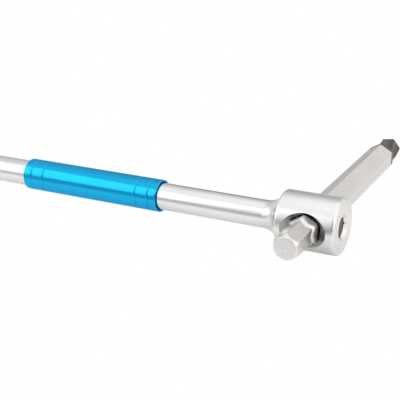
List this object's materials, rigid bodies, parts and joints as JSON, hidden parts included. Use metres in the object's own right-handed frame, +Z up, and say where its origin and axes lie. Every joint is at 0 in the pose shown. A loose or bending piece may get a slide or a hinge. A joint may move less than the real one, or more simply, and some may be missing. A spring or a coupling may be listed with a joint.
{
  "type": "sliding t-handle hex wrench",
  "caption": "Sliding T-handle hex wrench: round shaft with a spinning sleeve and hex key end, and a hexagonal cross bar with a plain hex end and a twisted gripper tip.",
  "frame": {"origin": "centre of the hex key end's flat face, which meets the bottom of a screw's socket; the bar axis crosses the shaft axis at X = 0.200 m", "axes": "+X along the shaft from the key end to the head's end face; +Y along the sliding bar towards its gripper tip; +Z up, through a corner of the bar's hexagon"},
  "size_m": [0.2104, 0.1105, 0.019],
  "materials": {
    "chromed_steel": "satin chrome plating over turned steel",
    "blue_anodised": "glossy blue anodising",
    "black_plastic": "matte black acetal",
    "plated_bar": "satin plated drawn hexagon",
    "black_oxide": "black oxide with an oily sheen",
    "bearing_steel": "polished",
    "spring_steel": "drawn wire",
    "dark_plug": "dark phosphated steel"
  },
  "bodies": {
    "shaft": {"shaft_and_head": "chromed_steel", "head_side_bushing": "black_plastic", "key_side_bushing": "black_plastic", "detent_spring": "spring_steel", "detent_plug": "dark_plug"},
    "bar": {"sliding_bar": "plated_bar", "gripper_tip": "black_oxide"},
    "sleeve": {"speed_sleeve": "blue_anodised"},
    "ball": {"detent_ball": "bearing_steel"}
  },
  "joints": [
    {"name": "bar_slide", "type": "slide", "parent": "shaft", "child": "bar", "axis": [0, 1, 0], "range_m": [-0.064, 0]},
    {"name": "sleeve_spin", "type": "hinge", "parent": "shaft", "child": "sleeve", "pos_m": [0.1165, 0, 0], "axis": [1, 0, 0], "continuous": true},
    {"name": "ball_press", "type": "slide", "parent": "shaft", "child": "ball", "axis": [1, 0, 0], "range_m": [0, 0.0004], "stiffness_N_per_m": 2000, "springref_m": -0.0015, "deforming": ["detent_spring"]}
  ]
}
